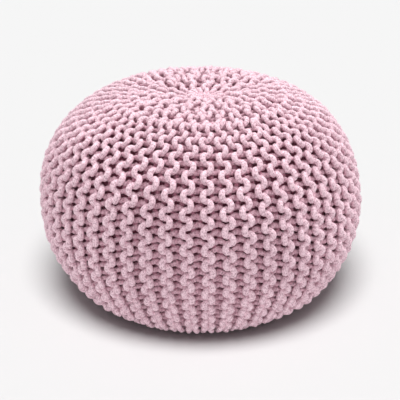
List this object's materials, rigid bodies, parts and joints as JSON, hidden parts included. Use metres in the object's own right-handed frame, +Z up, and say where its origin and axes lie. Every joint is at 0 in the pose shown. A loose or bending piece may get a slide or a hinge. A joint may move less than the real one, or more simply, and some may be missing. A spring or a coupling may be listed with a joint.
{
  "type": "knitted pouf",
  "caption": "Round filled floor pouf in thick garter-knit cotton cord, with upright ridges, a drawn-in crown and a flat base.",
  "frame": {"origin": "on the floor under the middle of the widest level", "axes": "+Z up from the flat base to the drawn-in crown; the ridges run round it evenly, so +X and +Y are alike"},
  "size_m": [0.5016, 0.5016, 0.331],
  "materials": {
    "cotton_cord": "matte dusty pink cotton cord"
  },
  "bodies": {
    "root": {"knitted_pouf": "cotton_cord"}
  },
  "joints": []
}
